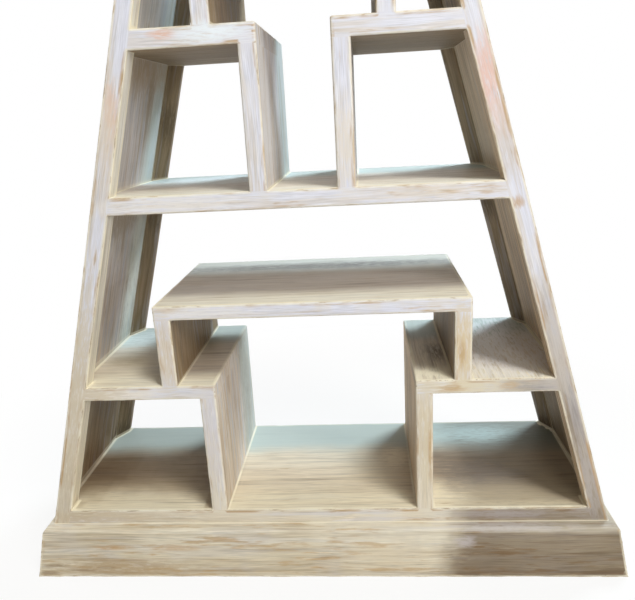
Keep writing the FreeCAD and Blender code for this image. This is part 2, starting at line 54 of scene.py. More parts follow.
# Which way each board's grain runs, and the finish group that it belongs to.
grainWays = {
    "wide": ((1, 0, 0), (0, 1, 0)),
    "deep": ((0, 1, 0), (1, 0, 0)),
    "tall": ((0, 0, 1), (0, 1, 0)),
    "leanLeft": ((lean, 0, 1), (0, 1, 0)),
    "leanRight": ((-lean, 0, 1), (0, 1, 0)),
}
boards = {
    **{place + "_shelf": ("wide", "shelf") for place in ("bottom", "middle", "crown", "lower_left")},
    "lower_right_shelf": ("deep", "shelf"),
    **{place + "_shelf": ("wide", "shelf") for place in ("upper_left", "upper_right")},
    **{level + "_bridge_shelf": ("wide", "shelf") for level in ("lower", "upper")},
    **{
        f"{level}_{side}_{piece}": ("tall", "upright")
        for piece in ("upright", "riser")
        for level in ("lower", "upper")
        for side in ("left", "right")
    },
    **{
        f"{side}_{place}_{piece}": ("lean" + side.title(), piece)
        for place, piece in (("front", "post"), ("back", "post"), ("side", "panel"))
        for side in ("left", "right")
    },
    "top_board": ("wide", "shelf"),
    **{f"plinth_{place}_board": ("wide", "plinth") for place in ("front", "back")},
    **{f"plinth_{side}_end": ("deep", "plinth") for side in ("left", "right")},
    **{f"plinth_{place}_cleat": ("wide", "cleat") for place in ("front", "back")},
    **{f"plinth_{side}_cleat": ("deep", "cleat") for side in ("left", "right")},
}

# How the boards' arrises are softened and worn, in metres, shares and chances.
arrisWear = {
    "width": 0.0034,
    "segments": 3,
    "shortest": 0.009,
    "leastTurn": math.radians(40),
    "lift": 0.0006,
    "inset": 0.0015,
    "step": 0.011,
    "shelfStep": 0.02,
    "nearCuts": (0.0050, 0.013),
    "reach": 0.013,
    "fadeReach": 0.008,
    "rubWaves": ((0.035, 0.6, 0), (0.012, 0.4, 5)),
    "rubDepth": 0.0005,
    "rubSpread": 0.0009,
    "dentDepth": 0.0011,
    "dentReach": 0.017,
    "dentEvery": 0.13,
    "dentChance": 0.22,
    "cornerReach": 0.010,
    "jointReach": 0.034,
    "jointStart": 0.0004,
    "openReach": 0.45,
    "openGrid": 0.018,
    "openPlane": 0.003,
    "nearWidths": 1.3,
    "onFace": 0.12,
    "leastMatch": 0.64,
    "inCorner": 0.08,
}
wear = SimpleNamespace(**arrisWear)

# Ways out from a surface, for how open or enclosed a place is.
openWays = [
    (math.cos(turn) * slope, math.sin(turn) * slope, math.sqrt(1 - slope ** 2))
    for slope, count in ((0.30, 3), (0.62, 5), (0.88, 6))
    for turn in (math.tau * (step + slope) / count for step in range(count))
]


# sRGB numbers from 0 to 255 as a linear colour.
def linear(red, green, blue, alpha=1.0):
    def one(value):
        share = value / 255
        return share / 12.92 if share <= 0.04045 else ((share + 0.055) / 1.055) ** 2.4
    return (one(red), one(green), one(blue), alpha)


def boardTree(name):
    mesh = nodes[name].data
    return BVHTree.FromPolygons([v.co for v in mesh.vertices], [p.vertices for p in mesh.polygons])


boardTrees = {name: boardTree(name) for name in boards}


# One search tree over all the boards, for how enclosed a place is, which sets the painted shade of enclosed
# places.
def wholeTree():
    spots, faces = [], []
    for name in boards:
        mesh, start = nodes[name].data, len(spots)
        spots += [v.co.copy() for v in mesh.vertices]
        faces += [[index + start for index in p.vertices] for p in mesh.polygons]
    return BVHTree.FromPolygons(spots, faces)


allBoards = wholeTree()
boardBoxes = {name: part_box(name) for name in boards}


def neighboursOf(name, slack=0.001):
    low, high = boardBoxes[name]
    found = []
    for other, (otherLow, otherHigh) in boardBoxes.items():
        apart = any(otherLow[i] > high[i] + slack or otherHigh[i] < low[i] - slack for i in range(3))
        if other != name and not apart:
            found.append(other)
    return found


def isInside(tree, place):
    way = Vector((0.313, 0.171, 0.934)).normalized()
    spot, normal, _, _ = tree.ray_cast(place, way)
    return spot is not None and normal.dot(way) > 0


def cutAt(shape, place, way):
    everything = shape.verts[:] + shape.edges[:] + shape.faces[:]
    bmesh.ops.bisect_plane(shape, geom=everything, dist=0.00003, plane_co=place, plane_no=way)


def boardAxes(kind):
    along, across = (Vector(way).normalized() for way in grainWays[kind])
    return along, across, along.cross(across).normalized()


# Planes where a neighbour's faces end on this board, so that an arris can stop there.
def jointCuts(name, kind, others):
    low, high = boardBoxes[name]
    axes = (2,) if kind.startswith("lean") else (0, 1, 2)
    planes = []
    for other in others:
        ends = boardBoxes[other]
        leans = boards[other][0].startswith("lean")
        for axis in axes:
            if leans and axis == 0:
                continue
            for corner in ends:
                if low[axis] + 0.001 < corner[axis] < high[axis] - 0.001:
                    planes.append((axis, round(corner[axis], 5)))
    return sorted(set(planes))


def openArrises(shape, others):
    found = []
    for edge in shape.edges:
        if len(edge.link_faces) != 2 or edge.calc_length() < wear.shortest:
            continue
        if not edge.is_convex or edge.calc_face_angle() < wear.leastTurn:
            continue
        middle = (edge.verts[0].co + edge.verts[1].co) / 2
        one, two = (face.normal for face in edge.link_faces)
        tests = []
        for facing, away in ((one, two), (two, one)):
            inward = (facing * away.dot(facing) - away).normalized()
            tests.append(middle + facing * wear.lift + inward * wear.inset)
        tests.append(middle + (one + two) * wear.lift)
        if not any(isInside(boardTrees[other], test) for other in others for test in tests):
            found.append(edge)
    return found


# Distance of each point from a segment, and how far along it the nearest place is.
def segmentDistance(points, start, end):
    way = end - start
    length = np.linalg.norm(way)
    along = np.clip((points - start) @ way / length ** 2, 0, 1)
    nearest = start + along[:, None] * way
    return np.linalg.norm(points - nearest, axis=1), along * length, length


# Repeatable scattered numbers from 0 to 1.
def scattered(values):
    mixed = np.sin(values) * 43758.5453
    return mixed - np.floor(mixed)


# Smooth noise from 0 to 1 along a line.
def roughValue(values, seed):
    cell = np.floor(values)
    part = values - cell
    part = part * part * (3 - 2 * part)
    before, after = (scattered(index * 127.1 + seed * 311.7) for index in (cell, cell + 1))
    return before * (1 - part) + after * part


# Moves the softened arrises inwards by uneven amounts, with a few dents, all inside the board's own shape.
def wearArrises(shape, arrises, seed):
    shape.verts.ensure_lookup_table()
    points = np.array([v.co for v in shape.verts])
    moves = np.zeros_like(points)
    for index, (start, end, one, two) in enumerate(arrises):
        gap, along, length = segmentDistance(points, start, end)
        near = gap < wear.width * wear.nearWidths
        if not near.any():
            continue
        onFirst, onSecond = (-(points - start) @ way < wear.width * wear.onFace for way in (one, two))
        inOne, inTwo = one * (one @ two) - two, two * (one @ two) - one
        inOne, inTwo = inOne / np.linalg.norm(inOne), inTwo / np.linalg.norm(inTwo)
        fade = np.clip(np.minimum(along, length - along) / wear.fadeReach, 0, 1)
        lineSeed = seed + index * 0.37
        rub = sum(
            roughValue(along / size, lineSeed + shift) * share for size, share, shift in wear.rubWaves
        )
        cell = np.floor(along / wear.dentEvery)
        chance = scattered(cell * 78.233 + lineSeed * 37.7)
        middle = (cell + 0.5) * wear.dentEvery
        dent = np.clip(1 - np.abs(along - middle) / wear.dentReach, 0, 1) ** 1.5
        dent *= (chance < wear.dentChance) * wear.dentDepth
        spread = (rub * wear.rubSpread + dent) * fade
        depth = (rub ** 2 * wear.rubDepth + dent * 0.7) * fade
        for chosen, move in ((onFirst, spread[:, None] * inOne), (onSecond, spread[:, None] * inTwo)):
            moves[near & chosen] += move[near & chosen]
        inner = near & ~onFirst & ~onSecond
        moves[inner] -= depth[inner][:, None] * (one + two) / np.linalg.norm(one + two)
    for vertex, move in zip(shape.verts, moves):
        vertex.co += Vector(move)


# Marks the narrow faces of a rounded edge, which are shaded as one curve.
def markRoundings(shape):
    soft = shape.faces.layers.int.new("softFace")
    narrow = sum(face.calc_area() for face in shape.faces) * 0.03
    least, most = math.radians(0.5), math.radians(30)
    for edge in shape.edges:
        if len(edge.link_faces) == 2 and least < edge.calc_face_angle() < most:
            for face in edge.link_faces:
                face[soft] = int(face.calc_area() < narrow)
    return soft


# One value per item of a mesh, or rows of three.
def readAll(items, label, width=1, kind=float):
    values = np.zeros(len(items) * width, kind)
    items.foreach_get(label, values)
    return values.reshape(-1, width) if width > 1 else values


# The vertex and the face that each corner belongs to.
def cornerOwners(mesh):
    sizes = readAll(mesh.polygons, "loop_total", kind=int)
    return readAll(mesh.loops, "vertex_index", kind=int), np.repeat(np.arange(len(sizes)), sizes)


# Flat faces keep their own direction, and the soft faces turn smoothly from one to the next.
def setNormals(mesh):
    areas = readAll(mesh.polygons, "area")
    soft = readAll(mesh.attributes["softFace"].data, "value", kind=int)
    vertexOf, faceOf = cornerOwners(mesh)
    ways = readAll(mesh.polygons, "normal", 3)[faceOf]
    onSoft = soft[faceOf] == 1
    sums = np.zeros((len(mesh.vertices), 3))
    np.add.at(sums, vertexOf[onSoft], ways[onSoft] * areas[faceOf[onSoft]][:, None])
    turned = ways.copy()
    turned[onSoft] = sums[vertexOf[onSoft]]
    touched = np.zeros(len(mesh.vertices), bool)
    touched[vertexOf[onSoft]] = True
    flatWays = {}
    for index in np.nonzero(~onSoft & touched[vertexOf])[0]:
        flatWays.setdefault(vertexOf[index], []).append(ways[index])
    for index in np.nonzero(onSoft)[0]:
        best = wear.leastMatch
        for way in flatWays.get(vertexOf[index], ()):
            if way @ ways[index] > best:
                best = way @ ways[index]
                turned[index] = way
    turned /= np.maximum(np.linalg.norm(turned, axis=1), 1e-9)[:, None]
    mesh.attributes.remove(mesh.attributes["softFace"])
    mesh.normals_split_custom_set(turned.tolist())


# How squarely a face must look a way to count as looking there, and up to where the panels take the painted
# shade of the insides.
facesSide, facesUp = 0.6, 0.7
shadedPanelsBelow = 0.38


# The finish for a face of this board, by the way that it looks and where it is. Some finishes are lit and
# shaded
# copies of one another: painted light and painted shade.
def faceFinish(name, group, normal, middle):
    if group == "cleat":
        return "plainCleat"
    if group == "plinth":
        return "outerSide" if max(abs(normal.x), normal.y) > facesSide else "plinthCoat"
    behind = name.endswith("back_post")
    if normal.y < -facesSide and not behind:
        return "paintedFront"
    if normal.z > facesUp:
        return "brushedTop"
    # Undersides take a dark brown copy, a painted shade under the shelves.
    if normal.z < -facesUp:
        return "shadedUnderside"
    leans = group in ("post", "panel")
    outwards = (leans or name == "top_board") and normal.x * middle.x > 0
    if outwards or normal.y > facesSide:
        return "outerSide"
    # Back posts, risers' sides and the lower panels take a dark brown copy, a painted shade inside the
    # bays.
    if behind or name.endswith("riser") or group == "panel" and middle.z < shadedPanelsBelow:
        return "shadedInside"
    # The left front post's inner face takes the pale top finish, a painted light.
    if name == "left_front_post":
        return "brushedTop"
    # Faces that look right take the lit copy and faces that look left a browner copy, a painted shade.
    return "washedSide" if normal.x > 0 else "shadedSide"


# A copy of a board's CAD mesh without the lines inside its flat faces, cut where its neighbours' faces end.
def copyBoard(name, kind, others):
    shape = bmesh.new()
    shape.from_mesh(nodes[name].data)
    bmesh.ops.remove_doubles(shape, verts=shape.verts[:], dist=0.00001)
    flat = math.radians(0.3)
    bmesh.ops.dissolve_limit(shape, angle_limit=flat, verts=shape.verts[:], edges=shape.edges[:])
    bmesh.ops.recalc_face_normals(shape, faces=shape.faces[:])
    for axis, place in jointCuts(name, kind, others):
        way = Vector([float(i == axis) for i in range(3)])
        cutAt(shape, way * place, way)
    return shape


# Rounds the open arrises, and gives the ends of each one and the directions of its two faces.
def softenArrises(shape, others):
    soft = markRoundings(shape)
    edges = openArrises(shape, others)
    arrises = []
    for edge in edges:
        ends = [vertex.co for vertex in edge.verts]
        facing = [face.normal for face in edge.link_faces]
        arrises.append([np.array(part) for part in ends + facing])
    bevelled = bmesh.ops.bevel(
        shape,
        geom=edges,
        offset=wear.width,
        offset_type="OFFSET",
        segments=wear.segments,
        profile=0.5,
        affect="EDGES",
        clamp_overlap=True,
    )
    for face in bevelled["faces"]:
        face[soft] = 1
    return arrises


def cutEvery(shape, points, way, step):
    reach = [p.dot(way) for p in points]
    low, length = min(reach), max(reach) - min(reach)
    count = int(length / step)
    for index in range(1, count):
        cutAt(shape, way * (low + length * index / count), way)


# Gives the wear and the stored values enough points, closer together beside the arrises.
def cutForWear(shape, kind, group, axes):
    points = [v.co.copy() for v in shape.verts]
    for way in axes:
        reach = [p.dot(way) for p in points]
        for offset in wear.nearCuts:
            cutAt(shape, way * (min(reach) + offset), way)
            cutAt(shape, way * (max(reach) - offset), way)
    upwards = kind == "tall" or kind.startswith("lean")
    cutEvery(shape, points, Vector((0, 0, 1)) if upwards else axes[0], wear.step)
    if group == "shelf":
        cutEvery(shape, points, axes[1], wear.shelfStep)


def addObject(name, data):
    made = bpy.data.objects.new(name, data)
    bpy.context.scene.collection.objects.link(made)
    return made


# A board in the place and size of its CAD node, with worn arrises and the places that its finish reads.
def makeBoard(name, finishes):
    kind, group = boards[name]
    seed = sorted(boards).index(name) + 1
    axes = boardAxes(kind)
    others = neighboursOf(name)
    shape = copyBoard(name, kind, others)
    arrises = softenArrises(shape, others)
    if group != "cleat":
        cutForWear(shape, kind, group, axes)
        wearArrises(shape, arrises, seed)
    mesh = bpy.data.meshes.new(name + "_board")
    for face in shape.faces:
        face.smooth = True
        look = faceFinish(name, group, face.normal, face.calc_center_median())
        face.material_index = list(finishLooks).index(look)
    shape.to_mesh(mesh)
    shape.free()
    for finish in finishes:
        mesh.materials.append(finish)
    board = addObject(name + "_board", mesh)
    writePlaces(mesh, name, axes, arrises, others, seed)
    setNormals(mesh)
    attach(board, "root")
    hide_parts(name)
    return board


enclosedSeen = {}


# The share of the ways out from a surface that another board closes near by: the mask of the painted shade
# of enclosed places.
def enclosedShare(point, normal):
    plane = round(normal.dot(Vector(point)) / wear.openPlane)
    key = (*(round(value / wear.openGrid) for value in point), *normal.to_tuple(1), plane)
    if key not in enclosedSeen:
        turn = normal.to_track_quat("Z", "Y")
        start = Vector(point) + normal * 0.002
        closed = 0.0
        for way in openWays:
            gap = allBoards.ray_cast(start, turn @ Vector(way), wear.openReach)[3]
            if gap is not None:
                closed += 1 - 0.5 * gap / wear.openReach
        enclosedSeen[key] = closed / len(openWays)
    return enclosedSeen[key]


# How far the grain is shifted from one board to the next, so that no two look alike.
grainShifts = ((3.71, 9), (5.13, 7), (1.93, 5))


# Places along the grain. On a board's end the brush ran along the end, not across the end grain.
def grainPlaces(name, points, normals, axes, seed):
    grain = np.stack([points @ np.array(axis) for axis in axes], axis=1)
    ends = np.abs(normals @ np.array(axes[0])) > 0.75
    turned = {"wide": (2, 1, 0), "deep": (0, 2, 1)}.get(boards[name][0])
    if name == "top_board":
        turned = (1, 2, 0)
    if turned:
        grain[ends] = points[ends][:, turned]
    return grain + np.array([seed * step % span for step, span in grainShifts])


# Stores where each corner lies along the grain, how near it is to an open arris, how deep in a corner, and
# how enclosed it is, for the painted shade of enclosed places.
def writePlaces(mesh, name, axes, arrises, others, seed):
    vertexOf, faceOf = cornerOwners(mesh)
    points = readAll(mesh.vertices, "co", 3)[vertexOf]
    normals = readAll(mesh.polygons, "normal", 3)[faceOf]
    rub = np.zeros(len(points))
    for start, end, _, _ in arrises:
        gap, _, _ = segmentDistance(points, start, end)
        rub = np.maximum(rub, np.clip(1 - gap / wear.reach, 0, 1))
    trees = [boardTrees[other] for other in others]
    probes = ((wear.cornerReach,) * 2, (wear.jointStart, wear.jointReach))
    known, rows = {}, []
    for index in range(len(points)):
        key = (vertexOf[index], tuple(normals[index].round(2)))
        if key not in known:
            normal = Vector(normals[index])
            shares = []
            for offset, reach in probes:
                probe = Vector(points[index]) + normal * offset
                gaps = [tree.find_nearest(probe, reach)[3] for tree in trees]
                shares.append(1 - min([gap for gap in gaps if gap is not None] + [reach]) / reach)
            joint = shares[1] * (shares[0] < wear.inCorner)
            known[key] = (shares[0], joint, enclosedShare(points[index], normal))
        rows.append(known[key])
    places = mesh.attributes.new("grainPlace", "FLOAT_VECTOR", "CORNER")
    grain = grainPlaces(name, points, normals, axes, seed)
    places.data.foreach_set("vector", grain.astype(np.float32).ravel())
    for label, values in zip(("rub", "cornerDepth", "flushJoint", "enclosed"), (rub, *np.array(rows).T)):
        stored = mesh.attributes.new(label, "FLOAT", "CORNER")
        stored.data.foreach_set("value", values.astype(np.float32))


def addNode(tree, kind, inputs=None, **settings):
    node = tree.nodes.new(kind)
    for key, value in settings.items():
        setattr(node, key, value)
    for key, value in (inputs or {}).items():
        if isinstance(value, bpy.types.NodeSocket):
            tree.links.new(value, node.inputs[key])
        else:
            node.inputs[key].default_value = value
    return node


# A shader node group: build makes its nodes from the inputs, and gives its outputs, which are all values.
def makeGroup(name, build, inputs):
    tree = bpy.data.node_groups.new(name, "ShaderNodeTree")
    for label, start in inputs.items():
        kind = "NodeSocketVector" if isinstance(start, tuple) else "NodeSocketFloat"
        tree.interface.new_socket(label, in_out="INPUT", socket_type=kind).default_value = start
    made = build(tree.nodes.new("NodeGroupInput").outputs)
    for label in made:
        tree.interface.new_socket(label, in_out="OUTPUT", socket_type="NodeSocketFloat")
    put = tree.nodes.new("NodeGroupOutput").inputs
    for label, value in made.items():
        tree.links.new(value, put[label])
    return tree


# The node tree that these sockets belong to; plain numbers are passed over.
def treeOf(values):
    return next(value.id_data for value in values if isinstance(value, bpy.types.NodeSocket))


def useGroup(group, **inputs):
    return addNode(treeOf(inputs.values()), "ShaderNodeGroup", inputs, node_tree=group).outputs


def maths(operation, *values, clamp=False):
    node = addNode(treeOf(values), "ShaderNodeMath", dict(enumerate(values)), operation=operation)
    node.use_clamp = clamp
    return node.outputs[0]


def times(first, second, clamp=False):
    return maths("MULTIPLY", first, second, clamp=clamp)


def vectorMaths(operation, inputs):
    return addNode(treeOf(inputs.values()), "ShaderNodeVectorMath", inputs, operation=operation).outputs[0]


def splitVector(vector):
    return addNode(vector.id_data, "ShaderNodeSeparateXYZ", {0: vector}).outputs


def distanceOf(vector):
    return addNode(vector.id_data, "ShaderNodeVectorMath", {0: vector}, operation="LENGTH").outputs["Value"]


def remap(value, low, high, toLow=0.0, toHigh=1.0, smooth=True):
    inputs = {"Value": value, "From Min": low, "From Max": high, "To Min": toLow, "To Max": toHigh}
    curve = "SMOOTHSTEP" if smooth else "LINEAR"
    return addNode(value.id_data, "ShaderNodeMapRange", inputs, interpolation_type=curve).outputs["Result"]


def mixColours(share, first, second, blend="MIX"):
    inputs = {0: share, 6: first, 7: second}
    return addNode(share.id_data, "ShaderNodeMix", inputs, data_type="RGBA", blend_type=blend).outputs[2]


def tinted(share, colour, numbers, blend="MIX"):
    return mixColours(share, colour, linear(*numbers), blend)


def between(share, pair):
    return mixColours(share, *(linear(*numbers) for numbers in pair))


def addNoise(vector, scale, detail, **more):
    inputs = {"Vector": vector, "Scale": scale, "Detail": detail, **more}
    return addNode(vector.id_data, "ShaderNodeTexNoise", inputs).outputs["Fac"]


# Noise as a swing to both sides of 0.
def swing(noise, size):
    return times(maths("SUBTRACT", noise, 0.5), size)


origin = (0, 0, 0)
bendScale = (5, 14, 14)


# Long noise along the grain, which wanders a little from side to side.
def streakNoise(given):
    slow = vectorMaths("MULTIPLY", {0: given["Place"], 1: bendScale})
    bend = addNode(slow.id_data, "ShaderNodeTexNoise", {"Vector": slow, "Scale": 1.0, "Detail": 1.0})
    centred = vectorMaths("SUBTRACT", {0: bend.outputs["Color"], 1: (0.5, 0.5, 0.5)})
    pushed = vectorMaths("SCALE", {0: centred, "Scale": given["Wander"]})
    moved = vectorMaths("ADD", {0: given["Place"], 1: pushed})
    size = {"X": given["Length"], "Y": given["Width"], "Z": given["Width"]}
    stretch = addNode(slow.id_data, "ShaderNodeCombineXYZ", size).outputs[0]
    scaled = vectorMaths("DIVIDE", {0: moved, 1: stretch})
    return {"Value": addNoise(scaled, 1.0, given["Detail"], Roughness=0.6)}


streakPlan = {"Place": origin, "Length": 0.1, "Width": 0.003, "Wander": 0.004, "Detail": 3.0}
streakGroup = makeGroup("Grain streaks", streakNoise, streakPlan)

# The length, width and wander of each kind of stroke or grain line in metres, and how detailed it is.
strokeKinds = {
    "grain": (0.11, 0.0026, 0.007, 4.0),
    "tone": (0.20, 0.010, 0.012, 3.0),
    "broad": (0.28, 0.015, 0.022, 3.0),
    "fine": (0.060, 0.0015, 0.009, 2.0),
    "rubbed": (0.035, 0.006, 0.004, 4.0),
    "ragged": (0.030, 0.005, 0.004, 4.0),
    "pores": (0.045, 0.0011, 0.004, 2.0),
    "ridges": (0.10, 0.0032, 0.004, 3.0),
    "turned": (0.020, 0.0012, 0.004, 3.0),
}


def streaks(place, kind):
    length, width, wander, detail = strokeKinds[kind]
    return useGroup(streakGroup, Place=place, Length=length, Width=width, Wander=wander, Detail=detail)[0]


# Brushed paint: 1 where it covers, with ragged ends and thin places along the strokes.
def coatMask(given):
    parts = []
    for scale, detail, share in ((3.2, 2.0, 0.55), (1.0, 3.0, 0.45)):
        length = times(given["StrokeLength"], scale)
        width = times(given["StrokeWidth"], scale)
        brush = {"Length": length, "Width": width, "Wander": 0.006, "Detail": detail}
        parts.append(times(useGroup(streakGroup, Place=given["Place"], **brush)[0], share))
    edge = remap(given["Cover"], 0.0, 1.0, 0.70, 0.30, smooth=False)
    low = maths("SUBTRACT", edge, given["Softness"])
    high = maths("ADD", edge, given["Softness"])
    return {"Mask": remap(maths("ADD", *parts), low, high)}


# Where hands and dusting have worn an arris: bare wood at the very edge, and a thin coat beside it.
def rubbedMasks(given):
    ragged = times(streaks(given["Place"], "rubbed"), 0.75)
    patchy = maths("ADD", times(given["Rub"], 0.55), ragged)
    limit = remap(given["Amount"], 0.0, 1.0, 1.05, 0.62, smooth=False)
    made = {}
    for label, below, above in (("Bare", 0.0, 0.10), ("Thin", -0.16, 0.04)):
        low, high = maths("ADD", limit, below), maths("ADD", limit, above)
        made[label] = remap(patchy, low, high)
    return made


# Dust and thick wash gathered where two boards meet.
def grimeMask(given):
    uneven = remap(addNoise(given["Place"], 38.0, 3.0), 0.35, 0.68, 0.35, 1.0)
    near = remap(given["Depth"], 0.70, 1.0)
    return {"Mask": times(times(near, uneven), given["Amount"], clamp=True)}


# One ragged patch of another tint at a given place.
def patchMask(given):
    offset = vectorMaths("SUBTRACT", {0: given["Position"], 1: given["Centre"]})
    shared = vectorMaths("DIVIDE", {0: offset, 1: given["Size"]})
    away = distanceOf(shared)
    strokes = streaks(given["Place"], "ragged")
    ragged = remap(maths("ADD", away, swing(strokes, 2.6)), 0.35, 1.25, 1.0, 0.0)
    shape = times(ragged, remap(strokes, 0.36, 0.52, 0.45, 1.0))
    return {"Mask": times(shape, given["Amount"], clamp=True)}


# Height of the open grain and the brush's ridges, in metres.
def reliefHeight(given):
    parts = []
    for label, depth in (("Pores", 0.00035), ("Ridges", 0.00050)):
        shaped = remap(streaks(given["Place"], label.lower()), 0.36, 0.62)
        parts.append(times(times(shaped, given[label]), depth))
    return {"Height": maths("ADD", *parts)}


coatPlan = {"Place": origin, "Cover": 0.7, "Softness": 0.12, "StrokeLength": 0.12, "StrokeWidth": 0.005}
patchPlan = {"Position": origin, "Place": origin, "Centre": origin, "Size": (1, 1, 1), "Amount": 0.8}
coatGroup = makeGroup("Brushed coat", coatMask, coatPlan)
rubbedGroup = makeGroup("Rubbed arris", rubbedMasks, {"Place": origin, "Rub": 0.0, "Amount": 0.5})
grimeGroup = makeGroup("Corner grime", grimeMask, {"Place": origin, "Depth": 0.0, "Amount": 0.6})
patchGroup = makeGroup("Paint, light and shade patch", patchMask, patchPlan)
reliefGroup = makeGroup("Board relief", reliefHeight, {"Place": origin, "Pores": 0.5, "Ridges": 0.5})
print("effects ready")

# Colours are sRGB numbers as seen; a pair goes from dark to pale or from low to high. Covers, shares and
# amounts are 0 for none, and heights are metres.
# The faces of the uprights and panels that look right: the lit copy of the side finish.
washedSide = dict(
    wood=((136, 116, 92), (176, 152, 120)), wash=((170, 157, 140), (208, 197, 180)),
    paint=((232, 219, 203), (238, 237, 240)), heights=(0.2, 0.9), paintCover=0.7, washCover=0.64,
    tan=(190, 164, 128), tanCover=0.14, edgeTan=0.4, rubAmount=0.3, cream=(222, 204, 176), creamAmount=0.4,
    washes=(0.7, 0.6), coolWash=(202, 204, 214), warmWash=(186, 163, 136), paleLineAndHighlight=(238, 231, 214),
    paintedHighlight=(0.62, 1.1), gather=0.6, grime=(108, 92, 70), grimeAmount=0.15, paintedBacklight=0.5, paintedShadow=0.4,
    recessShadeShare=0.35, roughness=(0.52, 0.78), pores=0.5, ridges=0.5, streakDepth=0.19,
)
paintedFront = dict(
    washedSide,
    wood=((150, 126, 98), (190, 162, 124)), wash=((178, 164, 144), (212, 202, 184)),
    paint=((231, 224, 209), (226, 228, 241)), heights=(0.08, 0.6), paintCover=0.84, washCover=0.66,
    tan=(186, 154, 114), tanCover=0.2, edgeTan=0.85, rubAmount=0.46, cream=(228, 217, 198),
    creamAmount=0.5, washes=(0.34, 0.34), coolWash=(216, 218, 236), warmWash=(210, 194, 168),
    paleLineAndHighlight=(238, 232, 216), paintedHighlight=(0.62, 1.2), gather=0.0, grime=(134, 116, 92), grimeAmount=0.1, paintedBacklight=0.0,
    paintedShadow=0.9, recessShadeShare=0.0, roughness=(0.5, 0.74), pores=0.35, ridges=0.45, streakDepth=0.17,
)
brushedTop = dict(
    washedSide,
    wood=((142, 124, 100), (186, 164, 132)), wash=((176, 164, 144), (214, 204, 184)),
    paint=((242, 232, 208), (246, 242, 231)), heights=(0.1, 0.8), paintCover=0.8, washCover=0.66,
    tan=(200, 176, 138), tanCover=0.1, edgeTan=0.15, rubAmount=0.2, creamAmount=0.0,
    washes=(0.1, 0.25), paleLineAndHighlight=(252, 245, 224), paintedHighlight=(0.4, 2.1), gather=0.85, grime=(124, 108, 86),
    grimeAmount=0.1, paintedBacklight=0.85, paintedShadow=0.6, recessShadeShare=0.6, roughness=(0.46, 0.7), pores=0.4,
    streakDepth=0.16,
)
outerSide = dict(
    washedSide,
    wood=((138, 118, 94), (178, 154, 122)), wash=((170, 157, 140), (196, 185, 168)),
    paint=((204, 194, 176), (206, 203, 204)), heights=(0.1, 0.9), paintCover=0.76, tanCover=0.18,
    edgeTan=0.45, cream=(212, 196, 170), creamAmount=0.5, washes=(0.45, 0.45), paleLineAndHighlight=(226, 219, 202),
    paintedHighlight=(0.7, 0.8), gather=0.3, grimeAmount=0.1, paintedBacklight=0.0, paintedShadow=0.0, recessShadeShare=0.0, streakDepth=0.15,
)
plinthCoat = dict(
    outerSide,
    wood=((150, 130, 102), (184, 158, 120)), wash=((176, 162, 140), (200, 188, 164)),
    paint=((216, 206, 184), (228, 221, 204)), heights=(0.0, 0.12), paintCover=0.64, tan=(188, 158, 116),
    tanCover=0.3, edgeTan=0.3, rubAmount=0.44, cream=(200, 193, 184), creamAmount=0.4, washes=(0.2, 0.2),
    paleLineAndHighlight=(238, 231, 212), paintedHighlight=(0.6, 1.2), gather=0.8, grime=(104, 88, 66), grimeAmount=0.22, paintedShadow=0.95,
    roughness=(0.52, 0.76), pores=0.4, ridges=0.4, streakDepth=0.18,
)
# Undersides: a dark brown copy, a painted shade under the shelves.
shadedUnderside = dict(
    brushedTop,
    wood=((104, 86, 62), (150, 126, 96)), wash=((124, 104, 80), (158, 138, 112)),
    paint=((148, 128, 99), (148, 130, 105)), heights=(0.2, 0.9), paintCover=0.36, washCover=0.6,
    tan=(160, 132, 98), tanCover=0.16, edgeTan=0.2, rubAmount=0.3, washes=(0, 0.35), paleLineAndHighlight=(214, 202, 180),
    paintedHighlight=(0.7, 1.0), gather=0.1, grime=(84, 68, 48), grimeAmount=0.4, paintedBacklight=0.0, paintedShadow=0.3, recessShadeShare=0.2,
    roughness=(0.56, 0.8), pores=0.8, streakDepth=0.18,
)
plainCleat = dict(
    brushedTop,
    wood=((146, 118, 84), (186, 158, 118)), wash=((160, 138, 106), (196, 178, 148)),
    paint=((206, 194, 168), (206, 194, 168)), heights=(0.0, 0.12), paintCover=0.1, washCover=0.4,
    tan=(176, 142, 100), tanCover=0.2, edgeTan=0.0, washes=(0, 0), paleLineAndHighlight=(206, 194, 168), paintedHighlight=(0.7, 0.5),
    gather=0.0, grime=(96, 80, 58), grimeAmount=0.5, paintedBacklight=0.0, paintedShadow=0.0, recessShadeShare=0.3,
    roughness=(0.6, 0.82), pores=0.9, ridges=0.2, streakDepth=0.2,
)
# The sides that look left: a browner copy of the washed side, a painted shade.
shadedSide = dict(
    washedSide,
    wood=((122, 102, 76), (164, 138, 104)), wash=((150, 130, 104), (196, 170, 136)),
    paint=((226, 200, 166), (228, 204, 172)), paintCover=0.62, tan=(178, 150, 112), edgeTan=0.3,
    creamAmount=0.0, washes=(0.2, 0.35), paleLineAndHighlight=(232, 220, 196), paintedHighlight=(0.66, 1.1),
    gather=0.8, grime=(96, 80, 58), grimeAmount=0.2, paintedBacklight=0.0, paintedShadow=0.2, recessShadeShare=0.0,
    roughness=(0.54, 0.78), pores=0.7, ridges=0.6,
)
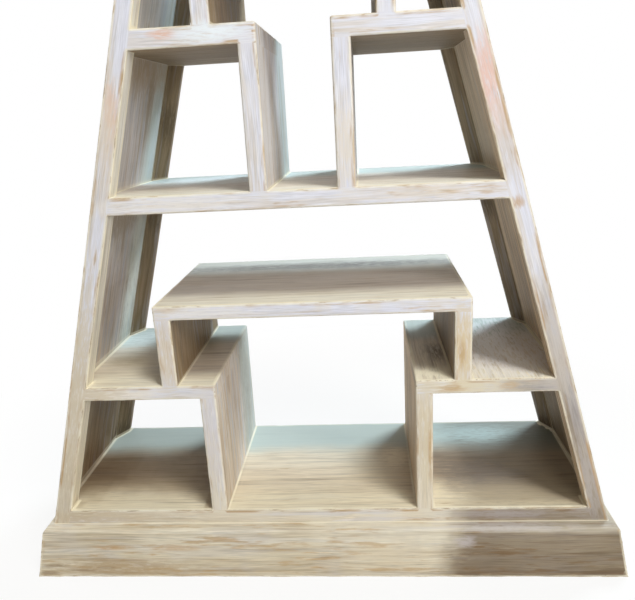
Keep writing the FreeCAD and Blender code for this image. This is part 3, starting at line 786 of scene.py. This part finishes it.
# Back posts, risers' sides and the lower panels: a dark brown copy, a painted shade inside the bays.
shadedInside = dict(
    shadedUnderside,
    wood=((102, 84, 58), (148, 124, 90)), wash=((124, 104, 76), (160, 138, 106)),
    paint=((146, 125, 92), (152, 132, 101)), paintCover=0.42, tan=(158, 130, 92), washes=(0.25, 0.4),
    paleLineAndHighlight=(236, 226, 202), paintedHighlight=(0.66, 1.0), gather=0.7, grime=(80, 64, 44), grimeAmount=0.3, paintedShadow=0.2,
    recessShadeShare=0.3, streakDepth=0.19,
)
finishLooks = dict(
    paintedFront=paintedFront, brushedTop=brushedTop, washedSide=washedSide, outerSide=outerSide,
    plinthCoat=plinthCoat, shadedUnderside=shadedUnderside, plainCleat=plainCleat, shadedSide=shadedSide,
    shadedInside=shadedInside,
)

# Patches of older paint that show through, and patches of painted light and painted shade. Every row ends
# with a colour and a strength.
frontFace = -0.165
faceReach = 0.03
topReach = 0.02

# On the faces that look forward: x, height, half width and half height in metres. The pinks and tans are
# older paint; the greys on the right post and the band are painted shadow, and the near-whites on the left
# painted light.
frontPatches = (
    (0.317, 0.953, 0.026, 0.08, (226, 190, 178), 0.85),
    (0.34, 0.88, 0.02, 0.04, (228, 198, 186), 0.6),
    (-0.325, 0.926, 0.016, 0.062, (228, 198, 184), 0.75),
    (-0.22, 1.046, 0.026, 0.011, (226, 188, 170), 0.85),
    (0.374, 0.738, 0.014, 0.012, (190, 156, 116), 0.75),
    (-0.269, 0.564, 0.024, 0.008, (200, 172, 134), 0.6),
    (0.283, 0.47, 0.03, 0.1, (216, 199, 166), 0.95),
    (0.281, 0.46, 0.008, 0.03, (190, 158, 114), 0.7),
    (0.468, 0.47, 0.012, 0.06, (178, 163, 150), 0.75),
    (0.35, 0.7, 0.03, 0.03, (206, 180, 144), 0.45),
    (-0.335, 0.88, 0.03, 0.1, (222, 206, 186), 0.6),
    (0.079, 0.85, 0.026, 0.08, (230, 219, 202), 0.6),
    (0.211, 0.29, 0.03, 0.13, (212, 198, 170), 0.75),
    (0.29, 0.393, 0.11, 0.02, (222, 211, 184), 0.7),
    (0.222, 0.26, 0.005, 0.07, (192, 160, 118), 0.8),
    (0.262, 0.39, 0.026, 0.01, (192, 160, 118), 0.75),
    (0.37, 0.393, 0.02, 0.01, (196, 168, 130), 0.65),
    (-0.4, 0.39, 0.09, 0.02, (244, 238, 230), 0.8),
    (-0.47, 0.4, 0.1, 0.32, (210, 196, 170), 0.75),
    (0.352, 0.84, 0.035, 0.07, (208, 199, 193), 0.7),
    (0.465, 0.48, 0.07, 0.13, (203, 195, 188), 0.7),
    (0.53, 0.2, 0.05, 0.12, (188, 180, 178), 0.6),
    (-0.14, 1.045, 0.07, 0.02, (238, 246, 255), 0.95),
    (-0.25, 0.76, 0.15, 0.02, (242, 238, 234), 0.6),
    (-0.2, 0.555, 0.12, 0.016, (243, 240, 237), 0.6),
    (0.22, 0.765, 0.14, 0.02, (226, 214, 198), 0.45),
    (-0.283, 0.47, 0.03, 0.09, (215, 200, 176), 0.7),
    (0.36, 0.114, 0.11, 0.012, (180, 172, 174), 0.6),
    (-0.205, 0.3, 0.036, 0.13, (214, 212, 222), 0.6),
    (-0.53, 0.17, 0.07, 0.11, (198, 184, 160), 0.65),
    (-0.45, 0.114, 0.17, 0.014, (202, 186, 160), 0.6),
)
# On the faces that look up: the centre, half width and half depth. The greys and dark browns are painted
# shadow, the creams and near-whites painted light, and the mint ones a painted cool back light.
topPatches = (
    (0.0, 0.132, 0.57, 0.45, 0.036, (116, 112, 107), 0.95),
    (0.395, 0.0, 0.407, 0.13, 0.19, (250, 248, 250), 1.0),
    (-0.4, 0.12, 0.407, 0.14, 0.07, (236, 243, 240), 0.85),
    (-0.2, 0.09, 0.778, 0.17, 0.11, (244, 252, 252), 1.0),
    (-0.42, -0.02, 0.407, 0.05, 0.04, (186, 168, 138), 0.5),
    (0.25, -0.015, 0.407, 0.03, 0.055, (116, 98, 70), 0.8),
    (0.232, -0.085, 0.129, 0.032, 0.055, (250, 240, 214), 0.85),
    (0.345, -0.04, 0.129, 0.1, 0.075, (152, 146, 140), 0.65),
    (0.235, -0.128, 0.407, 0.05, 0.034, (252, 244, 222), 0.9),
    (0.4, -0.148, 0.129, 0.15, 0.014, (240, 228, 200), 0.45),
    (0.16, 0.04, 0.129, 0.03, 0.05, (250, 238, 214), 0.8),
    (0.4, -0.11, 0.129, 0.13, 0.04, (190, 176, 152), 0.65),
    (0.37, 0.145, 0.129, 0.12, 0.05, (196, 214, 210), 0.7),
)
# On the other faces: the centre and the half sizes.
paintLightAndShadePatches = {
    # Dark dings and tan wear, with two paler patches that soften the painted shadow at the right end.
    "plinthCoat": (
        ((-0.56, -0.208, 0.024), (0.03, 0.03, 0.004), (128, 108, 84), 0.6),
        ((-0.5, -0.208, 0.014), (0.04, 0.03, 0.003), (124, 102, 76), 0.7),
        ((-0.45, -0.208, 0.02), (0.03, 0.03, 0.003), (124, 102, 76), 0.7),
        ((-0.58, -0.208, 0.008), (0.03, 0.03, 0.006), (140, 118, 92), 0.65),
        ((0.575, -0.208, 0.01), (0.035, 0.03, 0.01), (110, 92, 72), 0.75),
        ((0.31, -0.208, 0.004), (0.006, 0.03, 0.003), (104, 86, 64), 0.8),
        ((-0.44, -0.2, 0.062), (0.048, 0.03, 0.006), (188, 152, 108), 0.75),
        ((-0.3, -0.2, 0.06), (0.06, 0.03, 0.007), (190, 156, 114), 0.55),
        ((0.285, -0.196, 0.072), (0.024, 0.03, 0.014), (196, 189, 192), 0.7),
        ((-0.42, -0.208, 0.02), (0.16, 0.03, 0.018), (172, 148, 114), 0.75),
        ((0.15, -0.204, 0.05), (0.13, 0.03, 0.03), (222, 208, 182), 0.45),
        ((0.36, -0.19, 0.098), (0.16, 0.03, 0.008), (204, 200, 203), 0.55),
    ),
    # The browns and the grey are painted shadow, and the pale and mint ones painted light.
    "washedSide": (
        ((-0.194, 0.13, 0.27), (0.02, 0.07, 0.16), (150, 148, 136), 0.75),
        ((-0.3, 0.0, 1.005), (0.1, 0.25, 0.05), (184, 160, 128), 0.9),
        ((-0.3, 0.065, 0.955), (0.1, 0.028, 0.055), (160, 138, 110), 0.85),
        ((-0.38, 0.0, 0.722), (0.1, 0.25, 0.045), (168, 148, 120), 0.85),
        ((-0.3, 0.11, 0.87), (0.1, 0.026, 0.1), (210, 220, 216), 0.7),
        ((-0.4, 0.108, 0.56), (0.1, 0.05, 0.17), (244, 247, 236), 0.95),
        ((-0.062, -0.1, 0.9), (0.02, 0.05, 0.13), (238, 240, 247), 0.6),
    ),
    # A painted shadow under the upper right shelf.
    "shadedUnderside": (
        ((0.19, 0.0, 1.023), (0.12, 0.2, 0.02), (118, 102, 72), 0.75),
    ),
    # A painted light.
    "shadedSide": (
        ((0.4, 0.0, 0.83), (0.1, 0.2, 0.05), (250, 232, 206), 0.7),
    ),
    # Painted shadows at the back posts' feet and in the boxes.
    "shadedInside": (
        ((-0.53, 0.16, 0.135), (0.06, 0.05, 0.035), (88, 72, 50), 0.9),
        ((0.53, 0.16, 0.135), (0.06, 0.05, 0.035), (78, 64, 44), 0.9),
        ((-0.33, 0.18, 0.9), (0.05, 0.04, 0.055), (98, 82, 56), 0.8),
        ((-0.385, 0.18, 0.69), (0.05, 0.04, 0.045), (104, 88, 62), 0.75),
        ((0.385, 0.18, 0.69), (0.05, 0.04, 0.045), (92, 76, 52), 0.75),
        ((0.267, -0.03, 0.45), (0.02, 0.09, 0.07), (96, 80, 56), 0.8),
    ),
    "paintedFront": [
        ((x, frontFace, z), (wide, faceReach, tall), *tint) for x, z, wide, tall, *tint in frontPatches
    ],
    "brushedTop": [
        ((x, y, z), (wide, deep, topReach), *tint) for x, y, z, wide, deep, *tint in topPatches
    ],
}


# Between which places each tint comes or goes, in metres across, towards the rear or above the floor.
zones = {
    "shadowAcross": (0.205, 0.29),
    "shadowHeight": (0.95, 0.08),
    "shelfSmoke": (0.30, 0.18),
    "backlightDepth": (0.04, 0.12),
    "backlightTop": (1.60, 1.70),
    "bayAcross": (-0.18, -0.23),
    "bayHeight": (0.30, 0.20),
    "wearAndShadeDepth": (-0.135, -0.06),
}
ledgeHeight, bridgeHeight = 0.094, 0.567


# A painted shadow towards the lower right, a painted cool back light towards the rear, painted shade in the
# left bay, and wear with painted shade behind a shelf's front zone.
def lightAndShadeTints(given):
    position = given["Position"]
    rightward, rearward, height = splitVector(position)
    stray = swing(addNoise(position, 9.0, 3.0), 0.16)

    def awayFrom(level):
        return maths("ABSOLUTE", maths("SUBTRACT", height, level))

    # A painted shadow over the lower right end, weaker on the plinth's ledge.
    sloped = maths("MULTIPLY_ADD", height, -0.3, maths("ADD", rightward, stray))
    right = remap(sloped, *zones["shadowAcross"])
    low = remap(maths("ADD", height, stray), *zones["shadowHeight"])
    ledge = remap(awayFrom(ledgeHeight), 0.0, 0.012, 0.55, 1.0)
    corner = times(times(right, low), ledge)
    deepness = maths("ADD", rearward, times(stray, 0.4))
    # A painted cool back light towards the rear, weaker on the bridge and none on the top board.
    onBridge = remap(awayFrom(bridgeHeight), 0.02, 0.05, 0.45, 1.0)
    backlit = times(remap(deepness, *zones["backlightDepth"]), onBridge)
    backlit = times(backlit, remap(height, *zones["backlightTop"], 1.0, 0.0))
    # A painted shade over the floor of the lower left bay, less towards the rear.
    bay = times(remap(rightward, *zones["bayAcross"]), remap(height, *zones["bayHeight"]))
    return {
        "Smoke": times(corner, given["Smoke"], clamp=True),
        "Mint": times(backlit, given["Mint"], clamp=True),
        "BayShade": times(bay, remap(deepness, *zones["backlightDepth"], 1.0, 0.2)),
        "WearAndShade": remap(deepness, *zones["wearAndShadeDepth"]),
    }


tintGroup = makeGroup("Light and shade tints", lightAndShadeTints, {"Position": origin, "Smoke": 0.5, "Mint": 0.5})
# Colours that the tints bring in: a painted cool back light, a painted shadow, a painted shade of enclosed
# places and of the left bay, and a darkening by wear and painted shade.
tints = {
    "paintedBacklight": (199, 217, 213), "paintedShadow": (160, 149, 138), "deep": (186, 172, 154),
    "worn": (236, 231, 229), "dull": (222, 216, 208),
}

# The softness of each coat's edge, and the length and width of its strokes in metres.
coatKinds = {
    "wash": (0.09, 0.09, 0.003),
    "paint": (0.14, 0.14, 0.004),
    "tan": (0.05, 0.05, 0.006),
    "line": (0.06, 0.06, 0.005),
}


def coat(place, cover, kind):
    softness, length, width = coatKinds[kind]
    brush = {"Softness": softness, "StrokeLength": length, "StrokeWidth": width}
    return useGroup(coatGroup, Place=place, Cover=cover, **brush)[0]


# What a finish reads from the surface: the stored values, the position and two broad noises.
def readSurface(tree):
    def stored(name, output="Fac"):
        return addNode(tree, "ShaderNodeAttribute", attribute_name=name).outputs[output]

    position = addNode(tree, "ShaderNodeTexCoord").outputs["Object"]
    _, rearward, height = splitVector(position)
    return SimpleNamespace(
        place=stored("grainPlace", "Vector"),
        rub=stored("rub"),
        depth=stored("cornerDepth"),
        joint=remap(stored("flushJoint"), 0.15, 1.0),
        # deep: how enclosed a place is, the mask of the painted shade of enclosed places.
        deep=remap(stored("enclosed"), 0.42, 0.80),
        position=position,
        rearward=rearward,
        height=height,
        cloud=addNoise(position, 6.0, 2.0),
        soft=addNoise(position, 8.5, 3.0, Roughness=0.6),
    )


# Bare wood, and the wood under a grey-brown wash.
def washedWood(look, at):
    grain = remap(streaks(at.place, "grain"), 0.34, 0.66)
    wood = between(grain, look["wood"])
    tone = remap(streaks(at.place, "tone"), 0.36, 0.64)
    wash = between(tone, look["wash"])
    return grain, wood, mixColours(coat(at.place, look["washCover"], "wash"), wood, wash)


# The brushed top coat, paler and cooler higher up as a painted cool light, with creamy clouds and broad
# washes in long strokes.
def brushedPaint(look, at, colour):
    uneven = maths("ADD", at.height, swing(at.cloud, 0.35))
    paint = between(remap(uneven, *look["heights"]), look["paint"])
    cover = maths("ADD", swing(at.cloud, 0.5), look["paintCover"], clamp=True)
    filled = maths("MAXIMUM", coat(at.place, cover, "paint"), times(at.joint, 0.85))
    colour = mixColours(filled, colour, paint)
    creamy = times(remap(at.soft, 0.48, 0.64), look["creamAmount"])
    creamy = times(creamy, remap(at.height, 0.35, 0.85, 1.0, 0.35))
    colour = tinted(creamy, colour, look["cream"])
    broad = streaks(at.place, "broad")
    cool, warm = (remap(broad, *limits) for limits in ((0.50, 0.64), (0.48, 0.34)))
    coolAmount, warmAmount = look["washes"]
    colour = tinted(times(cool, coolAmount), colour, look["coolWash"])
    return tinted(times(warm, warmAmount), colour, look["warmWash"])


# Long tan stains, then fine light and dark strokes over everything.
def stainedPaint(look, at, colour):
    tan = coat(at.place, look["tanCover"], "tan")
    tan = times(tan, maths("MULTIPLY_ADD", at.joint, -0.6, 0.7))
    colour = tinted(tan, colour, look["tan"])
    calm = remap(addNoise(at.position, 16.0, 2.0), 0.38, 0.62, 0.45, 1.0)
    fine, darkest = streaks(at.place, "fine"), look["streakDepth"]
    fine = maths("MULTIPLY_ADD", remap(fine, 0.33, 0.67, -darkest, darkest * 0.6), calm, 1.0)
    grey = {"Red": fine, "Green": fine, "Blue": fine}
    strokes = addNode(fine.id_data, "ShaderNodeCombineColor", grey).outputs[0]
    return mixColours(maths("MULTIPLY_ADD", at.joint, -0.7, 1.0), colour, strokes, "MULTIPLY")


# The painted light and shade that depend on where a place is on the whole bookcase, and the patches of
# older paint, painted light and painted shade.
def placedTints(name, look, at, colour):
    spread = useGroup(tintGroup, Position=at.position, Smoke=look["paintedShadow"], Mint=look["paintedBacklight"])
    paintedShadow, paintedBacklight, dull, worn = (spread[label] for label in ("Smoke", "Mint", "BayShade", "WearAndShade"))
    # A painted cool back light.
    colour = tinted(paintedBacklight, colour, tints["paintedBacklight"])
    # A painted shade in enclosed places, which on the tops is kept to the left bay.
    deep = at.deep
    if name == "brushedTop":
        deep = times(deep, dull)
        # Behind a shelf's front zone the tops darken as wear and painted shade, and more in the left bay as
        # painted shade.
        colour = tinted(worn, colour, tints["worn"], "MULTIPLY")
        colour = tinted(times(dull, worn), colour, tints["dull"], "MULTIPLY")
    colour = tinted(times(deep, look["recessShadeShare"]), colour, tints["deep"], "MULTIPLY")
    # A painted shadow over the lower right, kept low on the tops and on the sides that look left.
    if name in ("brushedTop", "shadedSide"):
        paintedShadow = times(paintedShadow, remap(at.height, *zones["shelfSmoke"]))
    colour = tinted(paintedShadow, colour, tints["paintedShadow"], "MULTIPLY")
    for centre, size, numbers, amount in paintLightAndShadePatches.get(name, ()):
        plan = {"Centre": centre, "Size": size, "Amount": amount}
        patch = useGroup(patchGroup, Position=at.position, Place=at.place, **plan)
        colour = tinted(patch[0], colour, numbers)
    return colour


# Tan lines along the arrises, pale lines there that are paint built up and a painted highlight, bare wood
# at their very edge, and paint and dust in the corners.
def wornEdges(look, at, colour, wood):
    worn = useGroup(rubbedGroup, Place=at.place, Rub=at.rub, Amount=look["rubAmount"])
    colour = tinted(times(worn["Thin"], 0.35), colour, look["wash"][1])
    line = times(remap(at.rub, 0.38, 0.60), remap(at.rub, 0.96, 0.84))
    line = times(line, coat(at.place, 0.42, "line"))
    line = times(line, remap(at.soft, 0.42, 0.58))
    colour = tinted(times(line, look["edgeTan"]), colour, look["tan"])
    # A painted highlight along the arrises, stronger at the front, over paint built up there.
    highlightFrom, highlightAmount = look["paintedHighlight"]
    nearArris = remap(at.rub, highlightFrom, highlightFrom + 0.22)
    highlight = remap(at.soft, 0.62, 0.40, 0.2 * highlightAmount, 0.6 * highlightAmount)
    highlight = times(times(nearArris, highlight), remap(at.rearward, -0.10, 0.12, 1.0, 0.3))
    colour = tinted(highlight, colour, look["paleLineAndHighlight"])
    colour = mixColours(times(worn["Bare"], 0.70), colour, wood)
    run = times(remap(at.depth, 0.50, 0.80), remap(at.cloud, 0.30, 0.52, 0.35, 1.0))
    colour = tinted(times(run, look["gather"]), colour, look["paleLineAndHighlight"])
    dust = useGroup(grimeGroup, Place=at.place, Depth=at.depth, Amount=look["grimeAmount"])
    return tinted(dust[0], colour, look["grime"]), worn["Thin"]


def newMaterial(name):
    material = bpy.data.materials.new(name)
    material.use_nodes = True
    return material, material.node_tree, material.node_tree.nodes["Principled BSDF"]


def makeFinish(name, look):
    material, tree, shader = newMaterial(name)
    at = readSurface(tree)
    grain, wood, colour = washedWood(look, at)
    colour = brushedPaint(look, at, colour)
    colour = stainedPaint(look, at, colour)
    colour = placedTints(name, look, at, colour)
    colour, thin = wornEdges(look, at, colour, wood)
    tree.links.new(colour, shader.inputs["Base Color"])
    dull = maths("ADD", times(thin, 0.5), times(grain, 0.5))
    rough = remap(dull, 0.0, 1.0, *look["roughness"], smooth=False)
    tree.links.new(rough, shader.inputs["Roughness"])
    relief = useGroup(reliefGroup, Place=at.place, Pores=look["pores"], Ridges=look["ridges"])
    bump = addNode(tree, "ShaderNodeBump", {"Height": relief[0], "Strength": 0.42, "Distance": 1.0})
    tree.links.new(bump.outputs[0], shader.inputs["Normal"])
    shader.inputs["Specular IOR Level"].default_value = 0.35
    return material


finishes = [makeFinish(name, look) for name, look in finishLooks.items()]
print("finishes ready:", len(finishes))

for name in boards:
    made = makeBoard(name, finishes)
    print("board", name, len(made.data.polygons), "faces")

# Dowels and screws stay as CAD nodes with their own finishes.
fixingLooks = {
    "dowelWood": {"shades": ((168, 136, 94), (206, 178, 136)), "roughness": 0.62, "metallic": 0.0},
    "zincSteel": {"shades": ((150, 152, 158), (188, 190, 194)), "roughness": 0.32, "metallic": 1.0},
}


def makeFixingFinish(name):
    look = fixingLooks[name]
    material, tree, shader = newMaterial(name)
    lines = streaks(addNode(tree, "ShaderNodeTexCoord").outputs["Object"], "turned")
    colour = between(remap(lines, 0.35, 0.65), look["shades"])
    tree.links.new(colour, shader.inputs["Base Color"])
    rough = remap(lines, 0.3, 0.7, look["roughness"], look["roughness"] + 0.15)
    tree.links.new(rough, shader.inputs["Roughness"])
    bump = addNode(tree, "ShaderNodeBump", {"Height": lines, "Strength": 0.3, "Distance": 0.0003})
    tree.links.new(bump.outputs[0], shader.inputs["Normal"])
    shader.inputs["Metallic"].default_value = look["metallic"]
    return material


dowelFinish = makeFixingFinish("dowelWood")
screwFinish = makeFixingFinish("zincSteel")
for name, node in nodes.items():
    if name not in boards:
        node.data.materials.clear()
        node.data.materials.append(screwFinish if name.endswith("screws") else dowelFinish)
print("fixings finished")

# A lamp of level 1 lights a surface that faces it, at its target, as brightly as its colour is written.
plainLamp = {"target": (0, 0, 0.6), "colour": (1.0, 1.0, 1.0), "spread": 180}
studio = {
    "floorColour": (232, 231, 228),
    "floorHalf": 9.0,
    "floorGlow": {"near": 0.55, "far": 1.4, "least": 0.86},
    "ambient": 0.05,
    "ambientColour": (1.0, 0.92, 0.83),
    "lamps": {
        "keyLamp": {"place": (1.52, -1.84, 4.6), "size": 1.2, "level": 0.52, "colour": (0.98, 1.0, 0.89)},
        "sideLamp": {"place": (3.1, -3.4, 3.1), "size": 1.4, "level": 0.33, "colour": (1.0, 0.94, 0.97)},
        "lowLamp": {"place": (0.6, -1.8, 1.4), "size": 0.6, "level": 0.15, "colour": (1.0, 0.98, 0.86)},
        "backLamp": {"place": (1.2, 1.45, 2.85), "target": (0, 0.1, 0.45), "size": 0.8, "level": 0.136,
                     "colour": (0.74, 0.89, 1.0), "spread": 60},
        "fillLamp": {"place": (-1.0, -2.7, 2.0), "size": 1.8, "level": 0.065},
        "leftLamp": {"place": (-2.4, 0.25, 1.3), "target": (0, 0, 0.7), "size": 1.0, "level": 0.40},
    },
}


def addLamp(name, plan):
    lamp = bpy.data.lights.new(name, "AREA")
    way = Vector(plan["target"]) - Vector(plan["place"])
    lamp.shape = "SQUARE"
    lamp.size = plan["size"]
    lamp.spread = math.radians(plan["spread"])
    lamp.energy = plan["level"] * math.pi ** 2 * way.length_squared
    lamp.color = plan["colour"]
    holder = addObject(name, lamp)
    holder.location = plan["place"]
    holder.rotation_euler = way.to_track_quat("-Z", "Y").to_euler()


for name, plan in studio["lamps"].items():
    addLamp(name, {**plainLamp, **plan})


# 1 for rays that show the background: from the camera, in a reflection or through glass.
def backgroundRay(tree):
    path = tree.nodes.new("ShaderNodeLightPath")
    seen = maths("MAXIMUM", path.outputs["Is Camera Ray"], path.outputs["Is Glossy Ray"])
    return maths("MAXIMUM", seen, path.outputs["Is Transmission Ray"])


def mixShaders(share, first, second, outputKind):
    tree = share.id_data
    mixed = addNode(tree, "ShaderNodeMixShader", {0: share, 1: first.outputs[0], 2: second.outputs[0]})
    output = tree.nodes.new(outputKind)
    tree.links.new(mixed.outputs[0], output.inputs[0])


def makeWorld():
    world = bpy.data.worlds.new("studioWorld")
    bpy.context.scene.world = world
    world.use_nodes = True
    tree = world.node_tree
    tree.nodes.clear()
    ambient = {"Color": (*studio["ambientColour"], 1), "Strength": studio["ambient"]}
    soft = addNode(tree, "ShaderNodeBackground", ambient)
    white = addNode(tree, "ShaderNodeBackground", {"Color": (1, 1, 1, 1), "Strength": 1.0})
    mixShaders(backgroundRay(tree), soft, white, "ShaderNodeOutputWorld")


# The floor shows nearly white to the camera, and keeps the bookcase's shadow close to it.
def makeFloor():
    half = studio["floorHalf"]
    corners = [(-half, -half, 0), (half, -half, 0), (half, half, 0), (-half, half, 0)]
    mesh = bpy.data.meshes.new("studioFloor")
    mesh.from_pydata(corners, [], [(0, 1, 2, 3)])
    floor = addObject("studioFloor", mesh)
    material, tree, _ = newMaterial("floorPaint")
    tree.nodes.clear()
    matt = addNode(tree, "ShaderNodeBsdfDiffuse", {"Color": linear(*studio["floorColour"])})
    glow = addNode(tree, "ShaderNodeEmission", {"Color": (1, 1, 1, 1), "Strength": 1.0})
    position = addNode(tree, "ShaderNodeTexCoord").outputs["Object"]
    away = distanceOf(position)
    near, far, least = (studio["floorGlow"][label] for label in ("near", "far", "least"))
    share = times(backgroundRay(tree), remap(away, near, far, least, 1.0))
    mixShaders(share, matt, glow, "ShaderNodeOutputMaterial")
    mesh.materials.append(material)


makeWorld()
makeFloor()
print("studio ready")

# The camera stands where the photograph was taken from.
cameraPlan = {
    "place": (0.10899, -1.30575, 0.90281),
    "yaw": -0.08112342, "pitch": -0.28037004, "roll": -0.05574711,
    "focalPixels": 644.119, "photoWidth": 635, "sensor": 36.0,
}


def addCamera():
    yaw, pitch, roll = cameraPlan["yaw"], cameraPlan["pitch"], cameraPlan["roll"]
    forward = Vector((math.sin(yaw) * math.cos(pitch), math.cos(yaw) * math.cos(pitch), math.sin(pitch)))
    right = Vector((math.cos(yaw), -math.sin(yaw), 0))
    up = right.cross(forward)
    sideways = math.cos(roll) * right + math.sin(roll) * up
    upright = -math.sin(roll) * right + math.cos(roll) * up
    data = bpy.data.cameras.new("photoCamera")
    data.sensor_fit = "HORIZONTAL"
    data.sensor_width = cameraPlan["sensor"]
    data.lens = cameraPlan["focalPixels"] / cameraPlan["photoWidth"] * cameraPlan["sensor"]
    data.clip_start = 0.05
    camera = addObject("photoCamera", data)
    turn = Matrix((sideways, upright, -forward)).transposed()
    camera.matrix_world = Matrix.Translation(cameraPlan["place"]) @ turn.to_4x4()
    bpy.context.scene.camera = camera


addCamera()
bpy.context.scene.view_settings.view_transform = "Standard"
